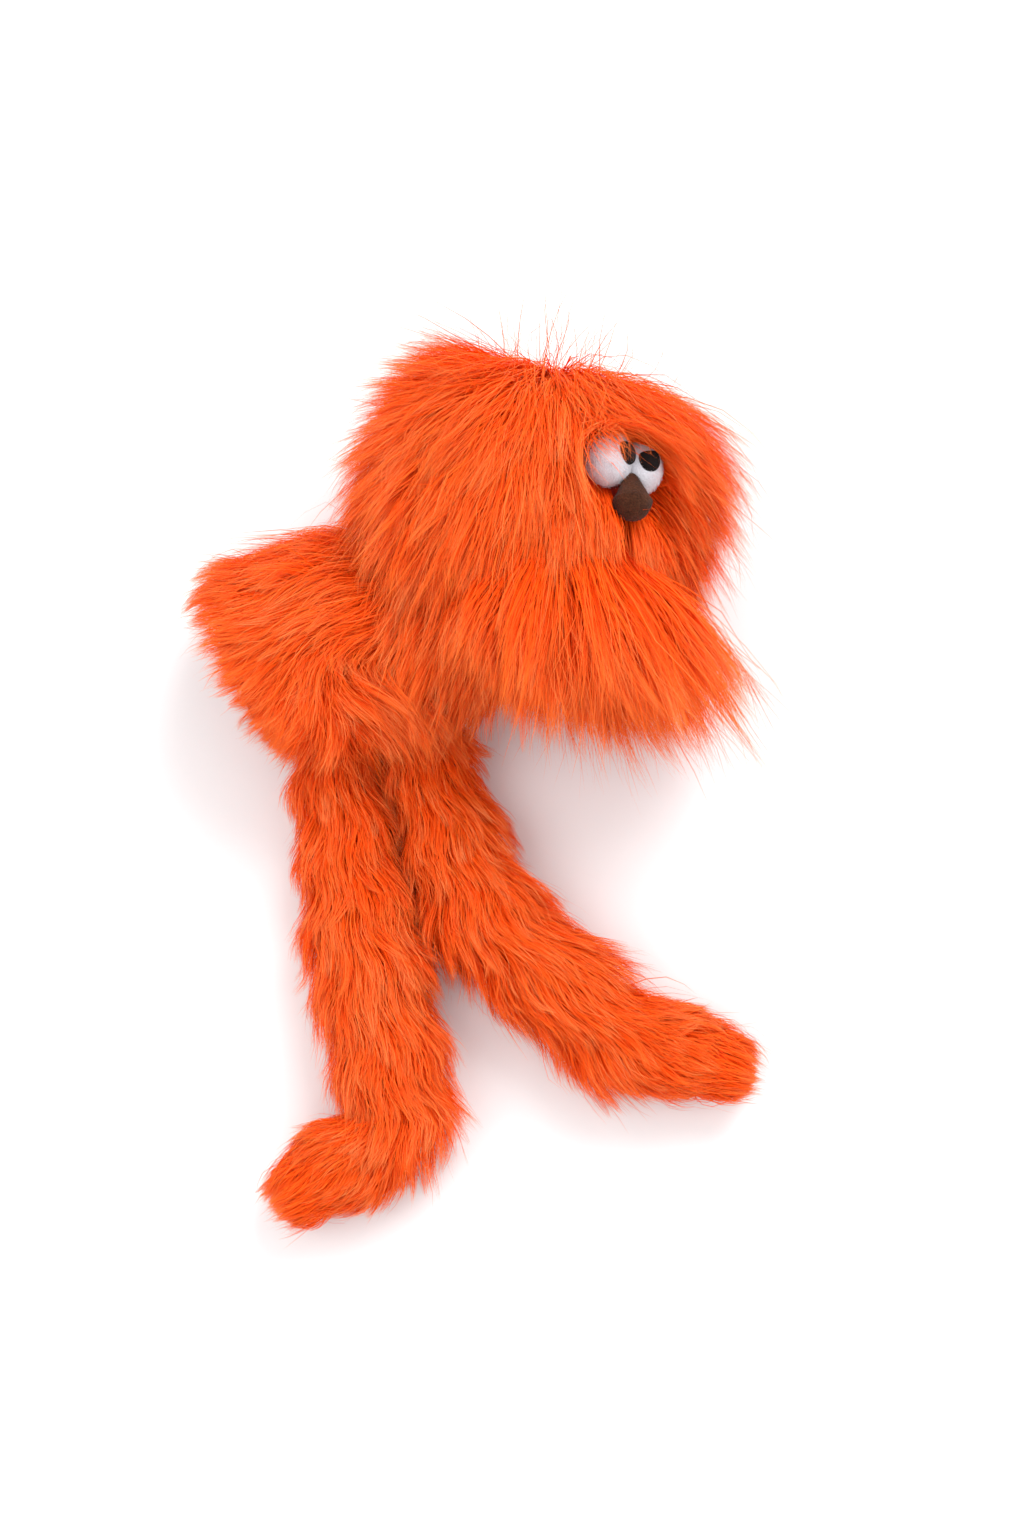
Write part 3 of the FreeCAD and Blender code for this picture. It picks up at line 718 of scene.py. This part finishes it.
def make_torso():
    """Backing cloth, narrowed at the hand opening, and its pile."""
    stations = np.linspace(-TORSO_REACH, 46.0, 20)
    path = TORSO + TORSO_AXIS * stations[:, None] * MM
    radii = torso_radius(stations) * MM
    path = np.concatenate([[path[0]], path])
    radii = np.concatenate([[34.6 * MM], radii])
    apart = np.linspace(0.0, TINY, len(path))[:, None] * TORSO_AXIS
    cloth = tube_mesh("torso_backing", path + apart, radii, 48)
    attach(cloth, "torso")

    count = int(STRANDS["torso"] * DENSITY)
    roots, normals, along = tube_samples(path[1:], radii[1:], count, 31)
    ends = np.clip(((roots - TORSO) @ TORSO_AXIS / MM + 30.0) / -16.0, 0.0, 1.0)
    normals = unit(normals - ends[:, None] * along * 0.9)
    rng = np.random.default_rng(32)
    rear = np.clip(((roots - TORSO) @ TORSO_AXIS / MM + 10.0) / -36.0, 0.0, 1.0)
    corner = np.clip(np.abs((roots - TORSO) @ CROWNWARD) / (42.0 * MM), 0.0, 1.0) ** 2
    length = (1.0 - (0.34 + 0.4 * corner) * rear) * rng.uniform(34.0, 58.0, len(roots)) * MM
    upper = roots[:, 2] > TORSO[2]
    for k, name in enumerate(("under", "top")):
        part = upper == bool(k)
        piece = pile(
            "torso_pile_" + name, roots[part], normals[part], torso_flow, length[part], 70 + k,
            width=0.5, lock=24, fine=7, hold=(0.8, 0.5), lift=(0.80, 0.12), droop=0.26, wave=0.17,
        )
        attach(piece, "torso")
    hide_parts("torso_fur_bottom")
    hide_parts("torso_fur_top")


def make_neck():
    """Fur tube between torso and head."""
    start = NECK_BASE + unit(NECK_TOP - NECK_BASE) * 22.0 * MM
    end = NECK_TOP + unit(HEAD - NECK_TOP) * 24.0 * MM
    t = np.linspace(0.0, 1.0, 14)[:, None]
    path = (1 - t) ** 2 * start + 2 * t * (1 - t) * NECK_TOP + t ** 2 * end
    radii = np.linspace(35.0, 33.0, 14) * MM
    cloth = tube_mesh("neck_backing", path, radii, 40)
    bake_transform(cloth)
    roots, normals, _ = tube_samples(path, radii, int(STRANDS["neck"] * DENSITY), 51)

    def neck_flow(points):
        return np.broadcast_to(unit(np.array([-0.42, -0.9, 0.0])), points.shape)

    rng = np.random.default_rng(52)
    length = rng.uniform(42.0, 64.0, len(roots)) * MM
    piece = pile(
        "neck_pile", roots, normals, neck_flow, length, 53, width=0.6, lock=34, fine=8, hold=(0.75, 0.5),
        lift=(0.7, 0.1), droop=0.35, wave=0.14,
    )
    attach(piece, "neck")
    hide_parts("neck_fur")


# ---------------------------------------------------------------- legs

FOOT_SPAN = 78.0               # ankle to toe, mm
TOE_PILE = 8.5                 # room left for the pile in front of the toe's cloth
LEG_SKIN = {"hip": 13.2, "knee": 17.0, "ankle": 16.0, "toe": 17.2}
BEND_ROOM = 20.0               # how far each side of a joint the cloth bends


def bent(points, room):
    """A smooth path through joints: straight runs with a rounded turn at each inner point."""
    path = [points[0]]
    for before, here, after in zip(points[:-2], points[1:-1], points[2:]):
        start = here + unit(before - here) * room
        end = here + unit(after - here) * room
        for t in np.linspace(0.0, 1.0, 7):
            path.append((1 - t) ** 2 * start + 2 * t * (1 - t) * here + t ** 2 * end)
    path.append(points[-1])
    return path


def subdivided(path, step):
    """More points along a path, about a step apart."""
    out = [path[0]]
    for here, after in zip(path[:-1], path[1:]):
        count = max(1, int(np.linalg.norm(after - here) / step))
        for t in np.linspace(0, 1, count + 1)[1:]:
            out.append(here * (1 - t) + after * t)
    return np.array(out)


def make_leg(side, seed):
    """One leg: backing cloth and pile from hip to toe, in pieces that bend at the joints."""
    hip, knee, ankle = (joint_at(side + "_" + name) for name in ("hip", "knee", "ankle"))
    foot_middle = box_centre(side + "_foot_stuffing")
    foot_axis = unit(foot_middle - ankle)
    toe = ankle + foot_axis * (FOOT_SPAN - TOE_PILE) * MM
    thigh_axis, shin_axis = unit(knee - hip), unit(ankle - knee)
    sections = (
        ("thigh", hip, knee, side + "_thigh", side + "_shin", knee, 0),
        ("shin", knee, ankle, side + "_shin", side + "_foot", ankle, 1),
        ("foot", ankle, toe, side + "_foot", None, None, 2),
    )
    whole = bent([hip - thigh_axis * 16.0 * MM, knee, ankle, toe], BEND_ROOM * MM)
    whole = subdivided(whole, 4.0 * MM)
    stations = np.concatenate([[0.0], np.cumsum(np.linalg.norm(np.diff(whole, axis=0), axis=1))])
    marks = [0.0]
    for centre in (knee, ankle, toe):
        marks.append(stations[np.linalg.norm(whole - centre, axis=1).argmin()])
    radii = np.interp(stations, marks, [LEG_SKIN[k] * MM for k in ("hip", "knee", "ankle", "toe")])
    closing = np.clip((marks[-1] - stations) / (12.0 * MM), 0.0, 1.0)
    radii = radii * np.sqrt(np.clip(1.0 - (1.0 - closing) ** 2, 0.03, 1.0))
    opening = np.clip(stations / (14.0 * MM), 0.0, 1.0)
    radii = radii * (0.55 + 0.45 * opening)
    rng = np.random.default_rng(seed)
    for (name, start, end, body, following, bend_at, index) in sections:
        low, high = marks[index], marks[index + 1]
        part = (stations >= low - 2.5 * MM) & (stations <= high + 2.5 * MM)
        path, size = whole[part], radii[part]
        axis = unit(end - start)
        cloth = tube_mesh(side + "_" + name + "_backing", path, size, 26)
        count = int(STRANDS[name] * DENSITY)
        roots, normals, along = tube_samples(path, size, count, seed + 3 * index)
        trail = along.copy()

        def leg_flow(points, trail=trail, start=start, axis=axis, taper=float(name == "foot")):
            side_step = np.sin(points[:, 1:2] * 160.0 + seed) * 0.22
            along_foot = (points - start) @ axis
            radial = unit(points - start - along_foot[:, None] * axis)
            inward = taper * np.clip((along_foot / MM - 32.0) / 22.0, 0.0, 1.0)
            return unit(trail + side_step * np.cross(trail, UP) - 0.9 * inward[:, None] * radial)

        length = rng.uniform(30.0, 46.0, len(roots)) * MM
        if name == "foot":
            tip = np.clip((((roots - toe) @ axis) / MM + 14.0) / 16.0, 0.0, 1.0)
            normals = unit(normals * (1.0 - 0.6 * tip)[:, None] + axis * 0.7 * tip[:, None])
            length = rng.uniform(20.0, 32.0, len(roots)) * (1.0 - 0.62 * tip) * MM
        piece = pile(
            side + "_" + name + "_pile", roots, normals, leg_flow, length, seed + 7 * index,
            width=0.46, lock=20, fine=6, hold=(0.80, 0.5), lift=(0.80, 0.20), droop=0.15, wave=0.14,
        )
        if following:
            for thing in (cloth, piece):
                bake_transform(thing)
        else:
            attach(cloth, body)
            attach(piece, body)
        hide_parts(side + "_" + name + "_fur")


# ---------------------------------------------------------------- eyes and nose

EYE_RADIUS = 13.5
EYE_FORWARD = 66.0
EYE_ASIDE = 10.8
PUPIL_RADIUS = 6.6
PUPIL_INWARD = 3.4
NOSE_FORWARD = 73.0


def combed_round(middle):
    """Nap that lies downwards over a ball with its centre at middle."""
    def flow(points):
        down = np.broadcast_to(-CROWNWARD, points.shape)
        return unit(tangential(down, unit(points - middle)))
    return flow


def bumpy(points, size, seed, scale):
    """Small rolling unevenness from a few waves in random directions."""
    rng = np.random.default_rng(seed)
    total = np.zeros(len(points))
    for _ in range(14):
        direction = unit(rng.normal(0, 1, 3)) * scale * rng.uniform(0.6, 1.8)
        total += np.sin(points @ direction + rng.uniform(0, 6.28))
    return size * total / 14.0 ** 0.5


def make_eye(name, sign, seed):
    """White plush eye with its fuzz, and a felt pupil cut flat along the top."""
    centre = head_point(EYE_FORWARD, 0.0, sign * EYE_ASIDE)
    rows, columns = 40, 64
    out = ball_directions(rows, columns, 0.03, CROWNWARD)

    def shaped(directions, radius):
        stretch = radius * (1.0 + 0.07 * (directions @ CROWNWARD) ** 2)
        points = centre + directions * (stretch[:, None] + bumpy(directions, 0.18, seed, 9.0)[:, None]) * MM
        beyond = np.minimum(0.0, ((points - HEAD) @ ACROSS) * sign - 0.15 * MM)
        return points - beyond[:, None] * sign * ACROSS

    faces = grid_faces(rows, columns, True)
    ball = mesh_object(name + "_plush", shaped(out, EYE_RADIUS - 0.4), faces, MAT["eye"])
    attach(ball, "head")
    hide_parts(name)

    rng = np.random.default_rng(seed)
    spots = even_directions(int(NAP["eye"] * max(DENSITY, 0.5)), seed)
    spots = spots[spots @ FACE > -0.35]
    roots = shaped(spots, EYE_RADIUS - 0.4)
    length = rng.uniform(0.9, 2.0, len(roots)) * MM
    points = grow(roots, spots, combed_round(centre), length, rng, lift=(0.9, 0.5), wave=0.4)
    # tone: each fuzz strand's random share of the white pile's painted highlight colour; its roots are
    # painted shade
    tone = rng.random(len(roots)) * 0.7
    vertices, quads, triangles, uv = ribbons(points, spots, tone, np.full(len(roots), 0.16 * MM), rng)
    fuzz = mesh_object(name + "_fuzz", vertices, (quads, triangles), MAT["white_pile"], uv)
    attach(fuzz, "head")

    rings, spokes = 9, 48
    look = centre - sign * PUPIL_INWARD * MM * ACROSS + 1.6 * MM * CROWNWARD
    rows_of = []
    for k in range(rings):
        share = (k / (rings - 1)) ** 0.8
        angle = np.linspace(0, 2 * math.pi, spokes, endpoint=False)
        across = PUPIL_RADIUS * share * np.cos(angle)
        flat_top = 0.40 * PUPIL_RADIUS + 0.12 * across * sign
        high = np.minimum(PUPIL_RADIUS * 1.05 * share * np.sin(angle), flat_top)
        flat = look + MM * (across[:, None] * ACROSS + high[:, None] * CROWNWARD)
        out_of = unit(flat - centre + FACE * 11.0 * MM)
        rise = 1.5 * (1.0 - share ** 6) - 0.5 * (share ** 6)
        rows_of.append(centre + out_of * (EYE_RADIUS + rise) * MM)
    points = np.concatenate(rows_of)
    beyond = np.minimum(0.0, ((points - HEAD) @ ACROSS) * sign - 0.1 * MM)
    points = points - beyond[:, None] * sign * ACROSS
    node = name.replace("eye", "pupil")
    faces = grid_faces(rings, spokes, True)
    pupil = mesh_object(node + "_felt", points, faces, MAT["pupil"])
    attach(pupil, "head")
    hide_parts(node)


def make_nose():
    """Stuffed felt nose: narrow bridge between the eyes, round heavy tip."""
    rows, columns = 44, 56
    t = np.linspace(0.0, 1.0, rows)
    drop = -6.5 - 25.5 * t
    bridge = 3.9 + 6.2 * np.clip((t - 0.08) / 0.5, 0, 1) ** 1.25
    tip = np.sqrt(np.clip(1.0 - (np.clip(t - 0.62, 0, 1) / 0.38) ** 2, 0.0, 1.0))
    start = np.sqrt(np.clip(1.0 - (1.0 - np.clip(t / 0.12, 0, 1)) ** 2, 0.0, 1.0))
    radius = bridge * tip * start + 0.02
    turn = np.linspace(0, 2 * math.pi, columns, endpoint=False)
    points = []
    for k in range(rows):
        forward = NOSE_FORWARD + 1.5 * math.sin(2.6 * t[k]) - 1.5 + radius[k] * 0.95 * np.cos(turn)
        side = radius[k] * np.sin(turn) * (1.0 + 0.05 * math.sin(4 * t[k]))
        points.append(head_point(forward, drop[k], side))
    points = np.concatenate(points)
    middle = head_point(NOSE_FORWARD, -19.0, 0.0)
    out = unit(points - middle)
    points = points + out * bumpy(out, 0.16, 91, 7.0)[:, None] * MM
    nose = mesh_object("nose_stuffed", points, grid_faces(rows, columns, True), MAT["nose"])
    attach(nose, "head")
    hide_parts("nose")

    rng = np.random.default_rng(93)
    pick = rng.choice(len(points), int(NAP["nose"] * max(DENSITY, 0.5)))
    normals = unit(points[pick] - middle)
    length = rng.uniform(0.5, 1.1, len(pick)) * MM
    strands = grow(points[pick], normals, combed_round(middle), length, rng, lift=(0.5, 0.2), wave=0.6)
    tone = rng.random(len(pick))
    vertices, quads, triangles, _ = ribbons(strands, normals, tone, np.full(len(pick), 0.11 * MM), rng)
    fuzz = mesh_object("nose_fuzz", vertices, (quads, triangles), MAT["nose"])
    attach(fuzz, "head")


# ---------------------------------------------------------------- CAD nodes that stay


def dress_cad_nodes():
    """Give every CAD node that shows its own cloth, felt, board or foam."""
    kinds = {
        "foam": "foam", "fibre_board": "board", "orange_fur": "backing", "stuffing": "eye",
        "lining": "lining", "cuff_knit": "knit", "mouth_board": "board", "mouth_felt": "mouth",
        "eye_white": "eye", "pupil_felt": "pupil", "nose_felt": "nose", "webbing": "tape",
    }
    slots = {s["node"]: s["material_slot"] for s in frame["record"]["subparts"]}
    for node, thing in frame["nodes"].items():
        material = MAT[kinds[slots[node]]]
        for place in thing.material_slots:
            place.link = "OBJECT"
            place.material = material


# ---------------------------------------------------------------- floor, light and camera


CAMERA_ELEVATION = math.radians(78.0)
CAMERA_DISTANCE = 1.12
CAMERA_TARGET = np.array([0.1056, -0.0676, 0.02])
FRAME_HEIGHT = 0.845           # metres at the target that fill the frame from top to bottom
FLOOR_REACH = 6.0


def make_stage():
    """Pale floor, soft studio light and the camera."""
    floor_material, tree, shader = new_material("pale_paper", (0.93, 0.93, 0.935), 0.75, specular=0.2)
    grain = noise(tree, 350.0, 2.0)
    bump(tree, shader, grain, 0.0002, 0.3)
    reach = FLOOR_REACH
    corners = [(-reach, -reach, 0), (reach, -reach, 0), (reach, reach, 0), (-reach, reach, 0)]
    mesh = bpy.data.meshes.new("floor")
    mesh.from_pydata(corners, [], [(0, 1, 2, 3)])
    mesh.materials.append(floor_material)
    floor = bpy.data.objects.new("floor", mesh)
    bpy.context.collection.objects.link(floor)

    world = bpy.data.worlds.new("studio")
    bpy.context.scene.world = world
    world.use_nodes = True
    world.node_tree.nodes["Background"].inputs["Color"].default_value = (1.0, 1.0, 1.0, 1.0)
    world.node_tree.nodes["Background"].inputs["Strength"].default_value = 0.98

    def area(name, place, target, size, power):
        light = bpy.data.lights.new(name, "AREA")
        light.shape = "DISK"
        light.size = size
        light.energy = power
        thing = bpy.data.objects.new(name, light)
        thing.location = place
        aim = np.array(target) - np.array(place)
        thing.rotation_euler = mathutils.Vector(aim).to_track_quat("-Z", "Y").to_euler()
        bpy.context.collection.objects.link(thing)

    centre = (0.11, -0.07, 0.0)
    area("key", (0.75, 1.05, 1.55), centre, 1.1, 21.0)
    area("fill", (-0.9, -0.3, 1.7), centre, 1.2, 8.0)

    away = np.array([0.0, -math.cos(CAMERA_ELEVATION), math.sin(CAMERA_ELEVATION)])
    place = CAMERA_TARGET + CAMERA_DISTANCE * away
    lens = bpy.data.cameras.new("camera")
    lens.sensor_width = 36.0
    lens.lens = lens.sensor_width * CAMERA_DISTANCE / FRAME_HEIGHT
    camera = bpy.data.objects.new("camera", lens)
    camera.location = place
    camera.rotation_euler = mathutils.Vector(CAMERA_TARGET - place).to_track_quat("-Z", "Y").to_euler()
    bpy.context.collection.objects.link(camera)
    scene = bpy.context.scene
    scene.camera = camera
    scene.view_settings.view_transform = "Standard"
    scene.view_settings.look = "None"
    scene.view_settings.exposure = 0.0


make_head_cloth()
make_head_pile()
make_muzzle()
flyaways()
make_jaw()
make_torso()
make_neck()
for leg_side, leg_seed in (("left", 101), ("right", 151)):
    make_leg(leg_side, leg_seed)
make_eye("left_eye", -1.0, 201)
make_eye("right_eye", 1.0, 202)
make_nose()
dress_cad_nodes()
make_stage()
